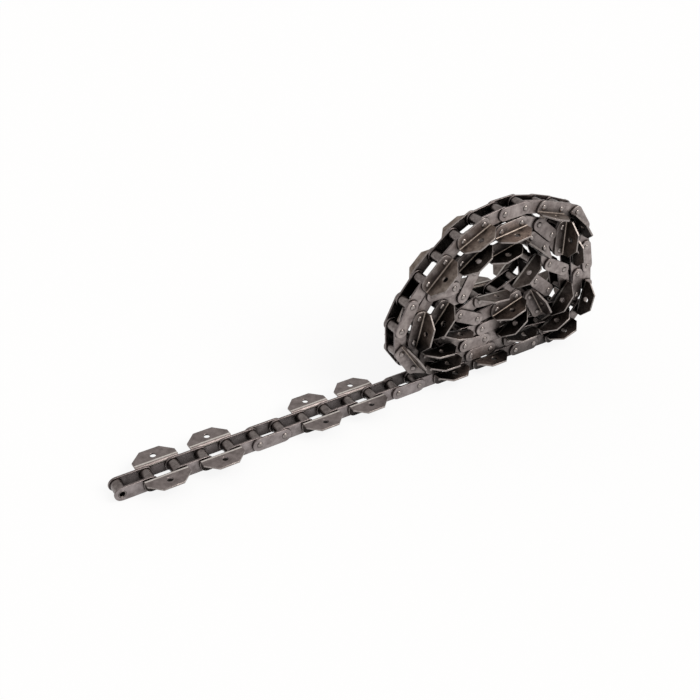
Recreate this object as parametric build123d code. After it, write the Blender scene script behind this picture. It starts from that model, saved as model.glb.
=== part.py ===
from build123d import *
import math
import os

os.makedirs("parts", exist_ok=True)

# Steel roller chain for farm and conveyor drives: a straight strand of twelve links that
# runs into a loose coil, with a bent attachment tab on most of the outer plates.
# Frame: the origin is the centre of the bush bore at the chain's free end. +X runs along
# the strand towards the coil, +Y across the chain, +Z up. Millimetres.

# ---- driving sizes -------------------------------------------------------------------
PITCH = 41.4            # pin centre to pin centre
INNER_WIDTH = 20.24     # clear width between a link's inner plates
PLATE_HEIGHT = 22.0     # across the rounded plate ends
INNER_THICK = 3.1       # inner plates
OUTER_THICK = 3.1       # outer plates and their tabs
PIN_DIA = 8.0
PIN_END_STAND = 2.0     # how far a pin's riveted end stands off its plate
BUSH_DIA = 11.5
ROLLER_DIA = 17.78

TAB_REACH = 28.15       # tab's outer edge, from the outer face of its plate
TAB_HALF_ROOT = 32.0    # half the tab's length where it leaves the plate
TAB_HALF_TIP = 14.9     # half its length at the outer edge
TAB_STRAIGHT = 11.45    # straight part of the tab's ends, before the corners are cut off
TAB_HOLE_DIA = 9.0
TAB_HOLE_REACH = 13.28  # bolt hole's centre, from the outer face of the plate
BEND_RADIUS = 2.0       # inside of the bend

# ---- clearances ----------------------------------------------------------------------
SIDE_GAP = 0.25         # inner plate to outer plate
PIN_PLAY = 0.05         # pin in its bush, on the radius
ROLLER_PLAY = 0.08      # roller on its bush, on the radius
ROLLER_END_GAP = 0.15   # roller to each inner plate
SEAT_GAP = 0.02         # pin in its outer plate, on the radius

# ---- how the chain lies --------------------------------------------------------------
STRAND_LINKS = 12       # free links, each hinged to the next
ATTACH_EVERY = 2        # every outer link has tabs ...
PLAIN_EVERY = 6         # ... but each third one

# Links from the coil's foot that still lie flat on the ground, in line with the strand.
FLAT_LINKS = 6
# From there the coil turns at each pin, in whole degrees, counter-clockwise seen from the
# near side (-Y). The turns follow each other along the chain, one short list per wrap.
FIRST_WRAP = [-1, 18, 34, 32, 21, 4, 0, 21, 31, 4, 5, 14, 7, 17, 13, 5, 6, 14, 29, 32, 33, 20]
SECOND_WRAP = [-2, 4, 3, -1, -9, 34, 16, 55, 8, 1, 38, 128, -147, 15, 21, 25, 9, 18, 42, -77,
               57, 22, 50, 46]
CORE_WRAP = [-3, 8, 2, 35, 76, 85, -9, -34, -133, -25, 24, 26, -120, 35, -140, 122, 46, 67]
INNER_WRAP = [53, 43, -33, 22, 32, 20, 28, 22, -57, 47, 88, 26, 10, 7]

# ---- sizes that follow ---------------------------------------------------------------
END_R = PLATE_HEIGHT / 2
INNER_IN = INNER_WIDTH / 2
INNER_OUT = INNER_IN + INNER_THICK
OUTER_IN = INNER_OUT + SIDE_GAP
OUTER_OUT = OUTER_IN + OUTER_THICK
BORE_R = PIN_DIA / 2 + PIN_PLAY
ROLLER_HALF = INNER_IN - ROLLER_END_GAP


# ---- how many flats stand for a round: 96 links repeat every piece --------------------
PIN_FLATS = 10          # pins, bushes and their bores
ROLLER_FLATS = 12
END_FLATS = 6           # the half circle at a plate's end
BEND_FLATS = 3          # the quarter circle of a tab's bend
COIL_END_FLATS = 3
COIL_HOLE_FLATS = 6
COIL_ROLLER_FLATS = 6


# ---- outlines ------------------------------------------------------------------------
def across(y_low, y_high, profile):
    """A profile drawn in X and Z, given its thickness along Y from y_low to y_high."""
    lie = Plane(origin=(0, y_high, 0), x_dir=(1, 0, 0), z_dir=(0, -1, 0))
    return extrude(lie * profile, y_high - y_low, dir=(0, -1, 0))


def shaft(radius, flats):
    """Section of a shaft: its corners lie on the round."""
    return RegularPolygon(radius, flats)


def bore(radius, flats):
    """Section of a bore: its flats touch the round, so the shaft turns freely in it."""
    return RegularPolygon(radius, flats, major_radius=False)


def pin_holes(clearance):
    """The two pin holes of an outer plate."""
    hole = bore(PIN_DIA / 2 + clearance, PIN_FLATS)
    return [Pos(x, 0) * hole for x in (-PITCH / 2, PITCH / 2)]


def end_points(flats):
    """A plate's right-hand end, from the lower edge round to the upper one."""
    turns = [math.pi * step / flats - math.pi / 2 for step in range(flats + 1)]
    return [(PITCH / 2 + END_R * math.cos(turn), END_R * math.sin(turn)) for turn in turns]


def oval(flats):
    """Outline of a plain plate: straight edges and round ends."""
    right = end_points(flats)
    left = [(-x, -y) for x, y in right]
    return Polygon(*right, *left, align=None)


def tab_plate_outline(top, flats):
    """Outline of a tab's plate up to height top: round below the pins, square above."""
    half = TAB_HALF_ROOT
    upper = Pos(0, top / 2) * Rectangle(2 * half, top)
    lower = oval(flats) & (Pos(0, -END_R) * Rectangle(4 * half, 2 * END_R))
    return upper + lower


# ---- one link's pieces, centred between its pins, pins along Y -----------------------
def mirrored(piece):
    """A piece and its mirror image on the chain's other side."""
    return [piece, piece.mirror(Plane.XZ)]


def inner_link(open_end=False):
    """Two inner plates with both bushes pressed in, as one rigid piece. The chain's free
    end has a true round bore, which takes the next pin."""
    link = None
    for side in (-1, 1):
        low, high = sorted((side * INNER_IN, side * INNER_OUT))
        plate = across(low, high, oval(END_FLATS))
        link = plate if link is None else link + plate
    for x in (-PITCH / 2, PITCH / 2):
        is_open = open_end and x < 0
        section = Circle(BORE_R) if is_open else bore(BORE_R, PIN_FLATS)
        link += Pos(x, 0, 0) * across(-INNER_IN, INNER_IN, shaft(BUSH_DIA / 2, PIN_FLATS))
        link -= Pos(x, 0, 0) * across(-INNER_OUT, INNER_OUT, section)
    return link


def outer_plate():
    """One plain outer plate with its two pin holes."""
    outline = oval(END_FLATS)
    for hole in pin_holes(SEAT_GAP):
        outline -= hole
    return across(-OUTER_OUT, -OUTER_IN, outline)


def tab_outline(y_root):
    """The tab seen from above, from y_root outwards, with its outer corners cut off."""
    y_straight = OUTER_OUT + TAB_STRAIGHT
    y_tip = OUTER_OUT + TAB_REACH
    right = [(TAB_HALF_ROOT, -y_root), (TAB_HALF_ROOT, -y_straight), (TAB_HALF_TIP, -y_tip)]
    left = [(-x, y) for x, y in reversed(right)]
    return Polygon(*right, *left, align=None)


def tab_blade(y_root, hole):
    """The flat of the tab, with its bolt hole, level with the top of the plate."""
    blade = tab_outline(y_root) - Pos(0, -OUTER_OUT - TAB_HOLE_REACH) * hole
    return Pos(0, 0, END_R - OUTER_THICK) * extrude(blade, OUTER_THICK, dir=(0, 0, 1))


def tab_bend():
    """The quarter-round bend between the plate and its tab."""
    outside = BEND_RADIUS + OUTER_THICK
    turns = [math.pi / 2 * step / BEND_FLATS for step in range(BEND_FLATS + 1)]
    outer_side = [(outside * math.cos(turn), outside * math.sin(turn)) for turn in turns]
    inner_side = [(BEND_RADIUS * math.cos(turn), BEND_RADIUS * math.sin(turn)) for turn in turns]
    quarter = Polygon(*outer_side, *reversed(inner_side), align=None)
    centre = (-TAB_HALF_ROOT, -OUTER_OUT - BEND_RADIUS, END_R - outside)
    lie = Plane(origin=centre, x_dir=(0, 1, 0), z_dir=(1, 0, 0))
    return extrude(lie * quarter, 2 * TAB_HALF_ROOT, dir=(1, 0, 0))


def attachment_plate():
    """An outer plate whose top edge is bent out into a flat tab with a bolt hole."""
    bend_start = END_R - BEND_RADIUS - OUTER_THICK
    outline = tab_plate_outline(bend_start, END_FLATS)
    for hole in pin_holes(SEAT_GAP):
        outline -= hole
    plate = across(-OUTER_OUT, -OUTER_IN, outline)
    return plate + tab_bend() + tab_blade(OUTER_OUT + BEND_RADIUS, Circle(TAB_HOLE_DIA / 2))


def link_pin():
    """A pin through the whole link, its ends standing off the outer plates."""
    half = OUTER_OUT + PIN_END_STAND
    return across(-half, half, shaft(PIN_DIA / 2, PIN_FLATS))


def roller():
    """A roller, free to turn on its bush."""
    inside = bore(BUSH_DIA / 2 + ROLLER_PLAY, PIN_FLATS)
    ring = shaft(ROLLER_DIA / 2, ROLLER_FLATS) - inside
    return across(-ROLLER_HALF, ROLLER_HALF, ring)


# ---- the coil's pieces, plainer still because they repeat so often --------------------
def coil_inner_plate():
    return across(-INNER_OUT, -INNER_IN, oval(COIL_END_FLATS))


def coil_outer_plate():
    return across(-OUTER_OUT, -OUTER_IN, oval(COIL_END_FLATS))


def coil_attachment_plate():
    plate = across(-OUTER_OUT, -OUTER_IN, tab_plate_outline(END_R, COIL_END_FLATS))
    return plate + tab_blade(OUTER_OUT, shaft(TAB_HOLE_DIA / 2, COIL_HOLE_FLATS))


def coil_roller():
    """A roller of the coil with its bush and pin inside, as one plain bar."""
    return across(-ROLLER_HALF, ROLLER_HALF, shaft(ROLLER_DIA / 2, COIL_ROLLER_FLATS))


def end_pin():
    """The bare pin between the last outer plates, at the chain's inner end."""
    return across(-OUTER_IN, OUTER_IN, shaft(PIN_DIA / 2, PIN_FLATS))


# ---- where each link lies ------------------------------------------------------------
def lay_of_chain():
    """The pins' places and each link's direction, from the free end to the core."""
    turns = [0] * (STRAND_LINKS + FLAT_LINKS) + FIRST_WRAP + SECOND_WRAP + CORE_WRAP + INNER_WRAP
    pins = [(0.0, 0.0)]
    headings = []
    heading = 0
    for turn in turns:
        heading += turn
        headings.append(heading)
        x, z = pins[-1]
        step_x = PITCH * math.cos(math.radians(heading))
        step_z = PITCH * math.sin(math.radians(heading))
        pins.append((x + step_x, z + step_z))
    return pins, headings


PINS, HEADINGS = lay_of_chain()
LAST_LINK = len(HEADINGS)


def is_inner(number):
    return number % ATTACH_EVERY == 1


def is_plain(number):
    return number % PLAIN_EVERY == 0


def place(number, piece):
    """Moves a piece of link number to where that link lies."""
    (x0, z0), (x1, z1) = PINS[number - 1], PINS[number]
    turned = Rot(0, -HEADINGS[number - 1], 0) * piece
    return Pos((x0 + x1) / 2, 0, (z0 + z1) / 2) * turned


def at_pin(number, piece):
    x, z = PINS[number]
    return Pos(x, 0, z) * piece


def save(name, pieces):
    if not pieces:
        return
    solids = [solid for piece in pieces for solid in piece.solids()]
    export_step(solids[0] if len(solids) == 1 else Compound(children=solids), f"parts/{name}.step")


# ---- the free strand -----------------------------------------------------------------
def save_strand():
    link_piece = inner_link()
    roller_piece = roller()
    pin_piece = link_pin()
    plain_pair = mirrored(outer_plate())
    attachment_pair = mirrored(attachment_plate())
    # The coil's first link is still made in full: the strand's last pin turns in it.
    for number in range(1, STRAND_LINKS + 2):
        if is_inner(number):
            piece = inner_link(open_end=True) if number == 1 else link_piece
            save(f"inner_link_{number:02d}", [place(number, piece)])
            for pin in (number - 1, number):
                save(f"roller_{pin:02d}", [at_pin(pin, roller_piece)])
        else:
            pair = plain_pair if is_plain(number) else attachment_pair
            kind = "plain" if is_plain(number) else "attachment"
            save(f"{kind}_plates_{number:02d}", [place(number, plate) for plate in pair])
            save(f"pins_{number:02d}", [at_pin(pin, pin_piece) for pin in (number - 1, number)])


# ---- the coil ------------------------------------------------------------------------
def save_wrap(name, first, last):
    """The pieces of one stretch of the coil, one file for each kind of piece."""
    inner_pair = mirrored(coil_inner_plate())
    plain_pair = mirrored(coil_outer_plate())
    attachment_pair = mirrored(coil_attachment_plate())
    roller_piece = coil_roller()
    inner, plain, attachment, rollers = [], [], [], []
    for number in range(first, last + 1):
        if is_inner(number):
            inner += [place(number, plate) for plate in inner_pair]
            rollers += [place(number, Pos(x, 0, 0) * roller_piece) for x in (-PITCH / 2, PITCH / 2)]
        elif is_plain(number):
            plain += [place(number, plate) for plate in plain_pair]
        else:
            attachment += [place(number, plate) for plate in attachment_pair]
    save(f"{name}_inner_plates", inner)
    save(f"{name}_plain_plates", plain)
    save(f"{name}_attachment_plates", attachment)
    save(f"{name}_rollers", rollers)


def save_coil():
    coil_start = STRAND_LINKS + 2
    first_end = STRAND_LINKS + FLAT_LINKS + len(FIRST_WRAP)
    second_end = first_end + len(SECOND_WRAP)
    save_wrap("first_wrap", coil_start, first_end)
    save_wrap("second_wrap", first_end + 1, second_end)
    save_wrap("core", second_end + 1, LAST_LINK)
    save("end_pin", [at_pin(LAST_LINK, end_pin())])


save_strand()
save_coil()
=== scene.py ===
"""Looks of a steel attachment chain: a straight strand that runs into a loose coil."""

import math

import bmesh
import bpy
from mathutils import Matrix, Vector
from mathutils.geometry import tessellate_polygon


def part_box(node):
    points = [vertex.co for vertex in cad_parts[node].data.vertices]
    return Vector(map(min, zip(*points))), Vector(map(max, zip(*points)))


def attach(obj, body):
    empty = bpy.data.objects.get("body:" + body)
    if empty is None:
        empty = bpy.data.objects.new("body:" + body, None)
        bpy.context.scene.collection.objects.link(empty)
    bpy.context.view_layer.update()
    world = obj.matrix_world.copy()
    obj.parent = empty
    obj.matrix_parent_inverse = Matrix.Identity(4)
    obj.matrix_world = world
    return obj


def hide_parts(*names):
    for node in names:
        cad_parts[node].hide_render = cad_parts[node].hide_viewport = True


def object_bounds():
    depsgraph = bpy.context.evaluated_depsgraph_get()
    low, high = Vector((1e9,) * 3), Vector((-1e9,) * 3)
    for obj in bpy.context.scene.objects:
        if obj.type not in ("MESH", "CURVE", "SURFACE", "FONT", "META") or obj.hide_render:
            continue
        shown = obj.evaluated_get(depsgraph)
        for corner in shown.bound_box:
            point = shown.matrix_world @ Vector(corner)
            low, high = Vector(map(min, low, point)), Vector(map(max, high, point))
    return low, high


MM = 0.001

# ---- the chain's sizes, in millimetres, as in the frame ------------------------------
PLATE_HEIGHT = 22.0
PLATE_THICK = 3.1
PLATE_GAP = 0.25            # between an inner and an outer plate
INNER_IN = 10.12            # half the width between an inner link's plates
INNER_OUT = INNER_IN + PLATE_THICK
OUTER_IN = INNER_OUT + PLATE_GAP
OUTER_OUT = OUTER_IN + PLATE_THICK
END_R = PLATE_HEIGHT / 2
PIN_R = 4.0
PIN_SEAT_R = 4.02           # an outer plate's hole for the pin
BORE_R = 4.05               # a bush's bore
BUSH_R = 5.75
ROLLER_R = 8.89
ROLLER_BORE_R = 5.83
ROLLER_GAP = 0.15           # between a roller's end and the plate
ROLLER_HALF = INNER_IN - ROLLER_GAP

# Tabs: how far they go out from the plate's outer face, and half their length along it.
TAB_REACH = 28.15
TAB_HALF_ROOT = 32.0
TAB_HALF_TIP = 14.9
TAB_STRAIGHT = 11.45        # how far out the cut-off corners begin
TAB_FOOT = 1.5              # height on the plate where its blank has grown to full length
TAB_HOLE_R = 4.5
TAB_HOLE_REACH = 13.28
BEND_R = 2.0                # inside the bend
BEND_LENGTH = math.pi / 2 * (BEND_R + PLATE_THICK / 2)
BEND_START = END_R - BEND_R - PLATE_THICK

# How the links follow each other: odd ones are inner links, each sixth is a plain outer one.
PLAIN_EVERY = 6
STRAND_LINKS = 12           # links that hinge; the next one is held by the coil
WRAPS = ("first_wrap", "second_wrap", "core")

# ---- what is finer than the frame, in millimetres ------------------------------------
PLATE_EDGE = 0.35           # what tumbling takes off an edge
BUSH_EDGE = 0.3
ROLLER_EDGE = 0.5
HIGHLIGHT_PAST_BEND = 1.5               # how far past the bend the painted highlight runs onto the tab
# A pin's hammered end, from its crown down to its shank: radius and height on the plate.
RIVET = [(1.0, 1.9), (2.2, 2.0), (2.8, 1.85), (4.1, 1.1), (4.5, 0.6), (4.5, 0.0), (PIN_R, -0.3)]
CUT_MISS = 1e-5             # a point this near to a cut lies on it
SAME_POINT = 0.001          # points this near to each other are one

ROUND_STEPS = 12            # steps in the half circle of a plate's end
HOLE_STEPS = 24
BEND_STEPS = 6
TURNED_STEPS = 32           # steps round a roller, bush or pin
SHARP_TURN = math.radians(32)   # where faces meet at a greater turn, the edge is sharp

# A plate's finishes, by number: its faces and its cut edges, and then those that come with
# a tab: the painted highlights along the outside and the inside of the bend, the tab's face
# and back, and the plate's outer face, which the tab stands over.
FACE, RIM, BEND_HIGHLIGHT, FOLD_HIGHLIGHT, TAB, TAB_BACK, UNDER_TAB = range(7)

# ---- painted shade and scale, in millimetres and in shares ---------------------------
HIDING_RAYS = 8             # samples of what lies near a point
SHADE_REACH = 75.0            # parts this near darken a surface with painted shade
CREASE_REACH = 3.0          # painted shade darkens this near to a step or a rivet
CREASE_OPEN = (0.35, 0.85)  # shares of open air at which a crease is all painted shade or free of it
PATCH_SPAN = (0.35, 0.68)   # shares of noise at which a patch is dark or light
GRAIN_SPAN = (0.3, 0.7)
GLOSS_SPREAD = 0.09         # how far the grain moves the roughness either way
GRAIN_HEIGHT = 0.2          # of the bumps

# ---- studio --------------------------------------------------------------------------
FLOOR_HALF = 30.0           # metres
SHADOW_FADE = 0.88          # how far the floor's own glow drowns the shadow on it
TENT_STRENGTH = 0.65
KEY_TOWARDS = (0.475, -0.544, 0.692)
KEY_ANGLE = 35
KEY_STRENGTH = 1.7

VIEW_AZIMUTH = math.radians(-34.47)
VIEW_ELEVATION = math.radians(32.98)
VIEW_ROLL = math.radians(2.11)
VIEW_DISTANCE = 1306.95 * MM
VIEW_TARGET = Vector((370.14, 0, 101.07)) * MM
LENS_LENGTH = 45.14
SENSOR_WIDTH = 36


# ---- small helpers -------------------------------------------------------------------
def linear(hex_colour):
    """An sRGB hex colour as the linear colour that a shader takes."""
    parts = [int(hex_colour[i:i + 2], 16) / 255 for i in (1, 3, 5)]
    return [c / 12.92 if c <= 0.04045 else ((c + 0.055) / 1.055) ** 2.4 for c in parts] + [1.0]


def add(tree, kind, settings=None, **links):
    """Adds a node. A setting is an input's value or a property; a link names its input."""
    node = tree.nodes.new("ShaderNode" + kind)
    for name, value in (settings or {}).items():
        if name in node.inputs.keys():
            node.inputs[name].default_value = value
        else:
            setattr(node, name, value)
    for name, socket in links.items():
        tree.links.new(socket, node.inputs[name.replace("_", " ")])
    return node


def add_math(tree, operation, socket, other):
    """Adds a sum, product or the like of a socket and a number or another socket."""
    node = add(tree, "Math", {"operation": operation})
    tree.links.new(socket, node.inputs[0])
    if isinstance(other, float):
        node.inputs[1].default_value = other
    else:
        tree.links.new(other, node.inputs[1])
    return node.outputs[0]


def blank_material(name):
    material = bpy.data.materials.new(name)
    material.use_nodes = True
    material.node_tree.nodes.clear()
    return material, material.node_tree


def put_in_scene(name, data):
    thing = bpy.data.objects.new(name, data)
    bpy.context.scene.collection.objects.link(thing)
    return thing


# ---- finishes ------------------------------------------------------------------------
def openness(tree, reach, low, high):
    """0 where parts within reach hide a surface, up to 1 where it lies open."""
    seen = add(tree, "AmbientOcclusion", {"Distance": reach * MM, "samples": HIDING_RAYS})
    share = add(tree, "MapRange", {"From Min": low, "From Max": high}, Value=seen.outputs["AO"])
    return share.outputs["Result"]


def noise(tree, size, detail, roughness):
    """Noise that stays with the piece, with lumps of about the given size."""
    place = add(tree, "TexCoord").outputs["Object"]
    settings = {"Scale": 1 / (size * MM), "Detail": detail, "Roughness": roughness}
    return add(tree, "TexNoise", settings, Vector=place).outputs["Fac"]


def steel(name, dark, light, roughness, patch, grain, bump, painted_shade=None, shade_span=None):
    """Steel in patches of two colours, where its scale lies thick or thin. The painted shade
    colour is painted in hollows and creases, where nearby parts hide the surface. The shade
    span gives the share of open air below which a place is all painted shade, and the one above
    which it has none."""
    material, tree = blank_material(name)
    patches = noise(tree, patch, detail=5.0, roughness=0.6)
    grains = noise(tree, grain, detail=3.0, roughness=0.7)
    low, high = PATCH_SPAN
    blend = add(tree, "MapRange", {"From Min": low, "From Max": high}, Value=patches)
    colour = add(tree, "MixRGB", {"Color1": linear(dark), "Color2": linear(light)},
                 Fac=blend.outputs["Result"])
    # Painted shade: the colour darkens where nearby parts, or a close step or rivet, hide the
    # surface.
    if painted_shade:
        unshaded_share = add_math(tree, "MULTIPLY", openness(tree, SHADE_REACH, *shade_span),
                          openness(tree, CREASE_REACH, *CREASE_OPEN))
        colour = add(tree, "MixRGB", {"Color1": linear(painted_shade)}, Fac=unshaded_share,
                     Color2=colour.outputs["Color"])
    low, high = GRAIN_SPAN
    gloss = add(tree, "MapRange", {"From Min": low, "From Max": high,
                                   "To Min": roughness - GLOSS_SPREAD,
                                   "To Max": roughness + GLOSS_SPREAD}, Value=grains)
    relief = add(tree, "Bump", {"Strength": bump, "Distance": GRAIN_HEIGHT * MM}, Height=grains)
    surface = add(tree, "BsdfPrincipled", {"Metallic": 1.0}, Base_Color=colour.outputs["Color"],
                  Roughness=gloss.outputs["Result"], Normal=relief.outputs["Normal"])
    add(tree, "OutputMaterial", Surface=surface.outputs["BSDF"])
    return material


def chain_finishes():
    """Carbon steel parts, hardened and dipped in oil, which dries to a warm grey."""
    return {
        # Rolled strip, its oil dried on: dull warm grey scale, with painted shade in the hollows.
        "dry_plate": steel("rolled_strip_dry_oil_light_painted_shade", "#7f7675", "#a69d9c", roughness=0.42,
                           patch=11.0, grain=0.9, bump=0.4, painted_shade="#241f1d", shade_span=(0.08, 0.6)),
        "dry_tab": steel("pressed_tab_dry_oil_light_painted_shade", "#776e6c", "#9a908e", roughness=0.42,
                         patch=11.0, grain=0.9, bump=0.4, painted_shade="#241f1d", shade_span=(0.08, 0.6)),
        # The same strip in the coil: a lighter copy, painted light for its open faces, with
        # painted shade almost black wherever neighbours hide it.
        "wet_plate": steel("rolled_strip_painted_light_deep_painted_shade", "#857b79", "#b0a6a2", roughness=0.4,
                           patch=11.0, grain=0.9, bump=0.4, painted_shade="#171311", shade_span=(0.4, 0.86)),
        "wet_tab": steel("pressed_tab_deep_painted_shade", "#6a605b", "#9a8f89", roughness=0.38,
                         patch=9.0, grain=0.9, bump=0.35, painted_shade="#0d0a09", shade_span=(0.42, 0.86)),
        # The back of a tab in the coil: a lighter copy, painted light, with less painted shade
        # where it turns out of the coil.
        "painted_light_tab_back": steel("pressed_tab_back_painted_light", "#6f645d", "#a1958c", roughness=0.38,
                            patch=9.0, grain=0.9, bump=0.35, painted_shade="#110d0b",
                            shade_span=(0.41, 0.72)),
        # Sheared and tumbled edges: the scale is rubbed through to brighter steel.
        "edge": steel("tumbled_sheared_steel", "#7e7673", "#a8a09c", roughness=0.42,
                      patch=3.0, grain=0.7, bump=0.3),
        # The edges of plates that other links rub against keep more of their oil.
        "oily_edge": steel("sheared_steel_dry_oil", "#706766", "#958c8a", roughness=0.45,
                           patch=3.0, grain=0.7, bump=0.3),
        # Painted highlights: near-white lines along the outside of a bend, with painted shade
        # where neighbours hide them.
        "bend_highlight": steel("steel_painted_bend_highlight", "#d2cac3", "#f4eee9", roughness=0.38,
                          patch=2.0, grain=0.7, bump=0.3, painted_shade="#2c2521", shade_span=(0.3, 0.95)),
        # A painted highlight along the inside of the bend, with painted shade where neighbours
        # hide it.
        "fold_highlight": steel("steel_painted_fold_highlight", "#8f837b", "#b5a89e", roughness=0.42,
                            patch=2.0, grain=0.7, bump=0.3, painted_shade="#15110f", shade_span=(0.34, 0.66)),
        # Turned and hardened: smoother, with ends that the hammer has spread, and painted shade
        # where neighbours hide them.
        "pin": steel("hardened_pin_steel", "#7d7572", "#aaa29e", roughness=0.32,
                     patch=4.0, grain=0.8, bump=0.25, painted_shade="#1b1512", shade_span=(0.1, 0.6)),
        # Rollers and bushes: smooth tube with a soft shine, and painted shade where neighbours
        # hide them.
        "roller": steel("oiled_roller_steel", "#6e6664", "#938b88", roughness=0.28,
                        patch=6.0, grain=0.8, bump=0.25, painted_shade="#1a1412", shade_span=(0.1, 0.65)),
    }


# ---- shapes, in millimetres, for one link centred on the origin, pins along Y --------
class Shape:
    """Points and faces, each face with the number of its finish."""

    def __init__(self, points=(), faces=(), finish=()):
        self.points, self.faces, self.finish = list(points), list(faces), list(finish)

    def add_loops(self, loops, finish, closed_ends=False):
        """Joins loops of equally many points by quads. Returns the first point's number."""
        first = len(self.points)
        count = len(loops[0])
        for loop in loops:
            self.points += loop
        for row in range(len(loops) - 1):
            for i in range(count):
                a = first + row * count + i
                b = first + row * count + (i + 1) % count
                self.faces.append((a, b, b + count, a + count))
                self.finish.append(finish)
        if closed_ends:
            last = first + (len(loops) - 1) * count
            self.faces.append(tuple(range(first, first + count))[::-1])
            self.faces.append(tuple(range(last, last + count)))
            self.finish += [finish, finish]
        return first


def oval_outline(half_pitch):
    """A plate's outline with round ends, drawn smaller by the given inset."""
    def outline(inset):
        radius = END_R - inset
        points = []
        for side in (1, -1):
            for step in range(ROUND_STEPS + 1):
                turn = math.pi * step / ROUND_STEPS - math.pi / 2
                points.append((side * (half_pitch + radius * math.cos(turn)),
                               side * radius * math.sin(turn)))
        return points
    return outline


def inset_polygon(corners, inset):
    """The corners of a convex outline, moved inwards by inset."""
    new_corners = []
    for i, (x, z) in enumerate(corners):
        before, after = corners[i - 1], corners[(i + 1) % len(corners)]
        first = Vector((x - before[0], z - before[1])).normalized()
        second = Vector((after[0] - x, after[1] - z)).normalized()
        n1, n2 = Vector((-first.y, first.x)), Vector((-second.y, second.x))
        both = (n1 + n2).normalized()
        step = inset / both.dot(n1)
        new_corners.append((x + both.x * step, z + both.y * step))
    return new_corners


def on_tab(reach):
    """The height on the flat blank of what lies this far out on the folded tab."""
    return BEND_START + BEND_LENGTH + reach - BEND_R


def blank_outline(half_pitch):
    """The flat blank of a plate with its tab: round below the pins, straight above,
    with the tab's outer corners cut off. Its height runs on round the bend."""
    quarter = ROUND_STEPS // 2
    lower = []
    for step in range(quarter + 1):
        turn = math.pi / 2 * step / quarter - math.pi / 2
        lower.append((half_pitch + END_R * math.cos(turn), END_R * math.sin(turn)))
    right = lower + [(TAB_HALF_ROOT, TAB_FOOT), (TAB_HALF_ROOT, on_tab(TAB_STRAIGHT)),
                     (TAB_HALF_TIP, on_tab(TAB_REACH))]
    corners = right + [(-x, z) for x, z in reversed(right)]
    return lambda inset: inset_polygon(corners, inset)


def round_hole(x, z, radius):
    """A hole's outline, drawn larger by the given inset."""
    def outline(inset):
        turns = [2 * math.pi * i / HOLE_STEPS for i in range(HOLE_STEPS)]
        return [(x + (radius + inset) * math.cos(t), z + (radius + inset) * math.sin(t))
                for t in turns]
    return outline


def pressed_plate(outline, holes):
    """A plate with tumbled edges. Its depth runs from 0 at the outer face inwards."""
    shape = Shape()
    layers = [(0, PLATE_EDGE), (PLATE_EDGE, 0), (PLATE_THICK - PLATE_EDGE, 0),
              (PLATE_THICK, PLATE_EDGE)]
    starts = []
    for edge_line in [outline] + holes:
        loops = [[(x, depth, z) for x, z in edge_line(inset)] for depth, inset in layers]
        finish = RIM if edge_line is outline else FACE
        starts.append((shape.add_loops(loops, finish), len(loops[0])))
    for layer, flip in ((0, False), (len(layers) - 1, True)):
        rings = [[first + layer * count + i for i in range(count)] for first, count in starts]
        flat = [index for ring in rings for index in ring]
        lines = [[Vector((shape.points[i][0], shape.points[i][2], 0)) for i in ring]
                 for ring in rings]
        for corner in tessellate_polygon(lines):
            face = tuple(flat[i] for i in corner)
            shape.faces.append(face[::-1] if flip else face)
            shape.finish.append(FACE)
    return shape


def bent_finish(face):
    """The finish of one face of the flat blank of a plate with a tab. The blank's outer
    face, at depth 0, comes to lie inside the bend."""
    if face.material_index == RIM:
        return RIM
    middle = face.calc_center_median()
    past = middle.z - BEND_START
    step = BEND_LENGTH / BEND_STEPS
    is_outside = middle.y > PLATE_THICK - PLATE_EDGE / 2
    is_inside = middle.y < PLATE_EDGE / 2
    # Painted highlights: bands on the outside of the bend where it starts, and where it ends and
    # a little past, and one along the middle of its inside.
    if is_outside and (0 < past < 2 * step or -step < past - BEND_LENGTH < HIGHLIGHT_PAST_BEND):
        return BEND_HIGHLIGHT
    if is_inside and step < past < BEND_LENGTH - step:
        return FOLD_HIGHLIGHT
    if past > 0:
        return TAB_BACK if is_inside else TAB
    return UNDER_TAB if is_inside else FACE


def fold_tab(point):
    """Where a point of the flat blank comes to lie once the tab is folded out."""
    past = point.z - BEND_START
    if past <= 0:
        return Vector((point.x, -OUTER_OUT + point.y, point.z))
    fold_y, fold_z = -OUTER_OUT - BEND_R, BEND_START
    reach = BEND_R + point.y
    if past <= BEND_LENGTH:
        turn = math.pi / 2 * past / BEND_LENGTH
        return Vector((point.x, fold_y + reach * math.cos(turn), fold_z + reach * math.sin(turn)))
    return Vector((point.x, fold_y - (past - BEND_LENGTH), fold_z + reach))


def formed(shape, cuts=(), is_bent=False):
    """Cuts a shape at the given heights, folds its tab and turns its faces outwards."""
    mesh = bmesh.new()
    points = [mesh.verts.new(p) for p in shape.points]
    for face, finish in zip(shape.faces, shape.finish):
        mesh.faces.new([points[i] for i in face]).material_index = finish
    for height in cuts:
        everything = list(mesh.verts) + list(mesh.edges) + list(mesh.faces)
        bmesh.ops.bisect_plane(mesh, geom=everything, plane_co=(0, 0, height),
                               plane_no=(0, 0, 1), dist=CUT_MISS)
    if is_bent:
        for face in mesh.faces:
            face.material_index = bent_finish(face)
        for point in mesh.verts:
            point.co = fold_tab(point.co)
    bmesh.ops.recalc_face_normals(mesh, faces=mesh.faces)
    mesh.verts.index_update()
    new = Shape((tuple(v.co) for v in mesh.verts),
                (tuple(v.index for v in f.verts) for f in mesh.faces),
                (f.material_index for f in mesh.faces))
    mesh.free()
    return new


def moved(shape, y):
    """The shape shifted along the pins."""
    return Shape([(px, py + y, pz) for px, py, pz in shape.points], shape.faces, shape.finish)


def both_sides(shape):
    """A near plate and its mirror image on the chain's far side."""
    far = Shape([(x, -y, z) for x, y, z in shape.points],
                [face[::-1] for face in shape.faces], shape.finish)
    return [shape, far]


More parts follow.
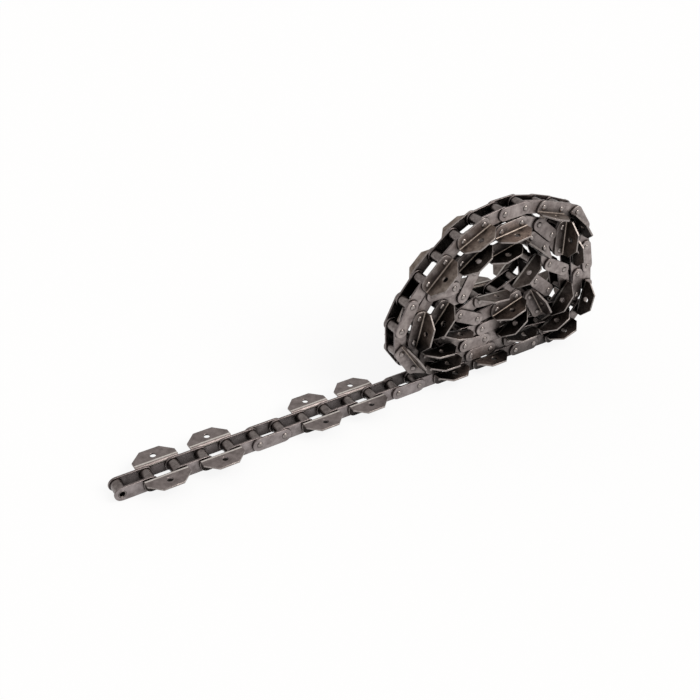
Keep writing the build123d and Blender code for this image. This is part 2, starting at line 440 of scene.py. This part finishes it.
def turned(profile, is_ring=False):
    """A turned piece round the Y axis from (radius, y) points, closed up into a ring or
    closed by a flat at either end."""
    shape = Shape()
    turns = [2 * math.pi * i / TURNED_STEPS for i in range(TURNED_STEPS)]
    loops = [[(r * math.cos(t), y, r * math.sin(t)) for t in turns] for r, y in profile]
    if is_ring:
        shape.add_loops(loops + [loops[0]], FACE)
    else:
        shape.add_loops(loops, FACE, closed_ends=True)
    return formed(shape)


def tube(outer, inner, half, edge):
    """A tube with eased ends."""
    return turned([(inner, -half + edge), (inner + edge, -half), (outer - edge, -half),
                   (outer, -half + edge), (outer, half - edge), (outer - edge, half),
                   (inner + edge, half), (inner, half - edge)], is_ring=True)


def riveted_pin():
    """A pin whose two ends are hammered over into low domes."""
    end = [(r, OUTER_OUT + height) for r, height in RIVET]
    return turned([(r, -y) for r, y in end] + [(r, y) for r, y in reversed(end)])


def make_shapes(half_pitch):
    """The plates, near and far, and the turned pieces of one link."""
    ends = (-half_pitch, half_pitch)
    bush_seats = [round_hole(x, 0, BUSH_R) for x in ends]
    pin_seats = [round_hole(x, 0, PIN_SEAT_R) for x in ends]
    bolt_hole = round_hole(0, on_tab(TAB_HOLE_REACH), TAB_HOLE_R)
    inner = formed(pressed_plate(oval_outline(half_pitch), bush_seats))
    plain = formed(pressed_plate(oval_outline(half_pitch), pin_seats))
    blank = pressed_plate(blank_outline(half_pitch), pin_seats + [bolt_hole])
    cuts = [BEND_START + BEND_LENGTH * i / BEND_STEPS for i in range(BEND_STEPS + 1)]
    cuts.append(BEND_START + BEND_LENGTH + HIGHLIGHT_PAST_BEND)
    return {
        "inner": both_sides(moved(inner, -INNER_OUT)),
        "plain": both_sides(moved(plain, -OUTER_OUT)),
        "attachment": both_sides(formed(blank, cuts, is_bent=True)),
        "bush": tube(BUSH_R, BORE_R, INNER_OUT, BUSH_EDGE),
        "roller": tube(ROLLER_R, ROLLER_BORE_R, ROLLER_HALF, ROLLER_EDGE),
        "pin": riveted_pin(),
    }


# ---- putting shapes together ---------------------------------------------------------
def piece(name, placed, finishes, body, nodes):
    """One mesh from shapes and the turn and place of each. It stands for CAD nodes."""
    points, faces, finish = [], [], []
    for shape, (x, z, heading) in placed:
        first = len(points)
        c, s = math.cos(heading), math.sin(heading)
        points += [((x + px * c - pz * s) * MM, py * MM, (z + px * s + pz * c) * MM)
                   for px, py, pz in shape.points]
        faces += [tuple(first + i for i in face) for face in shape.faces]
        finish += shape.finish
    mesh = bpy.data.meshes.new(name)
    mesh.from_pydata(points, [], faces)
    mesh.polygons.foreach_set("material_index", finish)
    mesh.polygons.foreach_set("use_smooth", [True] * len(faces))
    mesh.set_sharp_from_angle(angle=SHARP_TURN)
    for material in finishes:
        mesh.materials.append(material)
    thing = put_in_scene(name, mesh)
    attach(thing, body)
    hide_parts(*nodes)


# ---- where the frame has the pins ----------------------------------------------------
def solids_of(frame, node):
    """The middle of each separate solid in a CAD node, in the order they were made."""
    mesh = bmesh.new()
    mesh.from_mesh(frame["nodes"][node].data)
    bmesh.ops.remove_doubles(mesh, verts=mesh.verts, dist=SAME_POINT * MM)
    mesh.verts.ensure_lookup_table()
    reached = set()
    middles = []
    for start in mesh.verts:
        if start in reached:
            continue
        reached.add(start)
        stack, group = [start], []
        while stack:
            point = stack.pop()
            group.append(point.co.copy())
            for edge in point.link_edges:
                other = edge.other_vert(point)
                if other not in reached:
                    reached.add(other)
                    stack.append(other)
        low = [min(p[i] for p in group) for i in range(3)]
        high = [max(p[i] for p in group) for i in range(3)]
        middles.append(((low[0] + high[0]) / 2 / MM, (low[2] + high[2]) / 2 / MM))
    mesh.free()
    return middles


def middle_of(node):
    low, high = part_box(node)
    return (low.x + high.x) / 2 / MM, (low.z + high.z) / 2 / MM


def chain_layout(frame):
    """Every pin from the free end to the inner end, as (x, z), and the links of each wrap.
    Each wrap ends with an outer link."""
    pins = [middle_of(f"roller_{number:02d}") for number in range(STRAND_LINKS + 2)]
    wraps = {}
    first_link = STRAND_LINKS + 2
    for wrap in WRAPS:
        pins += solids_of(frame, f"{wrap}_rollers")
        last_link = len(pins)
        wraps[wrap] = range(first_link, last_link + 1)
        first_link = last_link + 1
    return pins + [middle_of("end_pin")], wraps


def link_place(pins, number):
    """The middle of a link and its direction."""
    (x0, z0), (x1, z1) = pins[number - 1], pins[number]
    return (x0 + x1) / 2, (z0 + z1) / 2, math.atan2(z1 - z0, x1 - x0)


def at_pins(shape, pins, numbers):
    """The same turned piece on each of the given pins."""
    return [(shape, (*pins[number], 0.0)) for number in numbers]


# ---- the chain -----------------------------------------------------------------------
def is_inner(number):
    return number % 2 == 1


def is_plain(number):
    return number % PLAIN_EVERY == 0


def plate_finishes(finishes, kind, state):
    """The finishes of a lightly or deeply shaded plate, in the order of the numbers FACE to
    UNDER_TAB. Under the tabs of a lightly shaded plate, and on their backs, the deeply shaded tab
    finish paints shade."""
    names = [f"{state}_plate", "oily_edge"]
    if kind == "attachment":
        back, under = {"dry": ("wet_tab", "wet_tab"), "wet": ("painted_light_tab_back", "wet_plate")}[state]
        names = [f"{state}_plate", "edge", "bend_highlight", "fold_highlight", f"{state}_tab", back, under]
    return [finishes[name] for name in names]


def dress_strand(pins, shapes, finishes):
    """Each link of the strand by itself, and each of its rollers."""
    for number in range(1, STRAND_LINKS + 2):
        tag = f"{number:02d}"
        body = "coil" if number > STRAND_LINKS else f"link_{tag}_body"
        here = link_place(pins, number)
        ends = (number - 1, number)
        if is_inner(number):
            node = f"inner_link_{tag}"
            piece(f"inner_side_plates_{tag}", [(s, here) for s in shapes["inner"]],
                  plate_finishes(finishes, "inner", "dry"), body, [node])
            piece(f"bushes_{tag}", at_pins(shapes["bush"], pins, ends), [finishes["roller"]],
                  body, [node])
            for end in ends:
                node = f"roller_{end:02d}"
                piece(f"loose_{node}", at_pins(shapes["roller"], pins, [end]),
                      [finishes["roller"]], f"{node}_body", [node])
        else:
            kind = "plain" if is_plain(number) else "attachment"
            piece(f"{kind}_side_plates_{tag}", [(s, here) for s in shapes[kind]],
                  plate_finishes(finishes, kind, "dry"), body, [f"{kind}_plates_{tag}"])
            piece(f"riveted_pins_{tag}", at_pins(shapes["pin"], pins, ends), [finishes["pin"]],
                  body, [f"pins_{tag}"])


def dress_coil(pins, wraps, shapes, finishes):
    """Each wrap of the coil in six pieces: three kinds of plates, rollers, bushes, pins."""
    for wrap, links in wraps.items():
        inner = [n for n in links if is_inner(n)]
        plain = [n for n in links if not is_inner(n) and is_plain(n)]
        attachment = [n for n in links if not is_inner(n) and not is_plain(n)]
        for kind, numbers in (("inner", inner), ("plain", plain), ("attachment", attachment)):
            placed = [(s, link_place(pins, n)) for n in numbers for s in shapes[kind]]
            piece(f"{wrap}_{kind}_side_plates", placed, plate_finishes(finishes, kind, "wet"),
                  "coil", [f"{wrap}_{kind}_plates"])
        ends = [end for n in inner for end in (n - 1, n)]
        for kind in ("roller", "bush"):
            piece(f"{wrap}_{kind}_tubes", at_pins(shapes[kind], pins, ends),
                  [finishes["roller"]], "coil", [f"{wrap}_rollers"])
        ends = [end for n in plain + attachment for end in (n - 1, n)]
        nodes = [f"{wrap}_rollers"] + (["end_pin"] if wrap == WRAPS[-1] else [])
        piece(f"{wrap}_riveted_pins", at_pins(shapes["pin"], pins, ends), [finishes["pin"]],
              "coil", nodes)


# ---- floor, light and camera ---------------------------------------------------------
def seen_directly(tree):
    """1 for what the eye sees straight, in polished metal or through glass, else 0."""
    ray = add(tree, "LightPath").outputs
    seen = add_math(tree, "MAXIMUM", ray["Is Camera Ray"], ray["Is Glossy Ray"])
    return add_math(tree, "MAXIMUM", seen, ray["Is Transmission Ray"])


def white_floor(low):
    """White studio paper, lit until it is white itself, with a faint shadow left on it."""
    material, tree = blank_material("white_studio_paper")
    paper = add(tree, "BsdfDiffuse", {"Color": linear("#fbfaf9")})
    glow = add(tree, "Emission", {"Color": linear("#ffffff"), "Strength": 1.0})
    share = add_math(tree, "MULTIPLY", seen_directly(tree), SHADOW_FADE)
    both = add(tree, "MixShader", Fac=share)
    tree.links.new(paper.outputs["BSDF"], both.inputs[1])
    tree.links.new(glow.outputs["Emission"], both.inputs[2])
    add(tree, "OutputMaterial", Surface=both.outputs["Shader"])
    half = FLOOR_HALF
    corners = [(-half, -half, low), (half, -half, low), (half, half, low), (-half, half, low)]
    mesh = bpy.data.meshes.new("studio_floor")
    mesh.from_pydata(corners, [], [(0, 1, 2, 3)])
    mesh.materials.append(material)
    put_in_scene("studio_floor", mesh)


def white_tent(strength):
    """Even light from all round, as inside a tent of white cloth."""
    world = bpy.data.worlds.new("studio")
    world.use_nodes = True
    tree = world.node_tree
    tree.nodes.clear()
    cloth = add(tree, "Background", {"Color": linear("#fbf9f7"), "Strength": strength})
    add(tree, "OutputWorld", Surface=cloth.outputs["Background"])
    bpy.context.scene.world = world


def wide_lamp(name, towards, angle, strength, colour):
    """A broad lamp far away in the given direction."""
    lamp = bpy.data.lights.new(name, "SUN")
    lamp.angle = math.radians(angle)
    lamp.energy = strength
    lamp.color = linear(colour)[:3]
    thing = put_in_scene(name, lamp)
    thing.rotation_euler = Vector(towards).to_track_quat("Z", "Y").to_euler()


def camera():
    """A view on the chain's long side, from the near left and from above."""
    back = Vector((math.sin(VIEW_AZIMUTH) * math.cos(VIEW_ELEVATION),
                   -math.cos(VIEW_AZIMUTH) * math.cos(VIEW_ELEVATION), math.sin(VIEW_ELEVATION)))
    level = Vector((math.cos(VIEW_AZIMUTH), math.sin(VIEW_AZIMUTH), 0))
    upright = back.cross(level)
    right = level * math.cos(VIEW_ROLL) + upright * math.sin(VIEW_ROLL)
    up = upright * math.cos(VIEW_ROLL) - level * math.sin(VIEW_ROLL)
    lens = bpy.data.cameras.new("view")
    lens.sensor_width = SENSOR_WIDTH
    lens.lens = LENS_LENGTH
    lens.clip_end = 2 * FLOOR_HALF
    thing = put_in_scene("view", lens)
    turn = Matrix((right, up, back)).transposed().to_4x4()
    thing.matrix_world = Matrix.Translation(VIEW_TARGET + back * VIEW_DISTANCE) @ turn
    bpy.context.scene.camera = thing


# ---- all together --------------------------------------------------------------------
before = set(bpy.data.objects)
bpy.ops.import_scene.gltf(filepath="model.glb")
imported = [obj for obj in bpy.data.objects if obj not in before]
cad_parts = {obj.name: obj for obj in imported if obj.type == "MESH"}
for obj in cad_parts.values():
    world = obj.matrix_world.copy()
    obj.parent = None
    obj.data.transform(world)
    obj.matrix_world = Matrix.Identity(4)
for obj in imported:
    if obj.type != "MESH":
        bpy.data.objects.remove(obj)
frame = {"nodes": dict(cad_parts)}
cad_box = [list(corner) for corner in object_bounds()]
bpy.context.scene.view_settings.view_transform = "Standard"

pins, wraps = chain_layout(frame)
shapes = make_shapes(math.dist(pins[0], pins[1]) / 2)
finishes = chain_finishes()
dress_strand(pins, shapes, finishes)
dress_coil(pins, wraps, shapes, finishes)
white_floor(cad_box[0][2])
white_tent(TENT_STRENGTH)
wide_lamp("key_from_near_right", KEY_TOWARDS, KEY_ANGLE, KEY_STRENGTH, "#fffaf5")
camera()
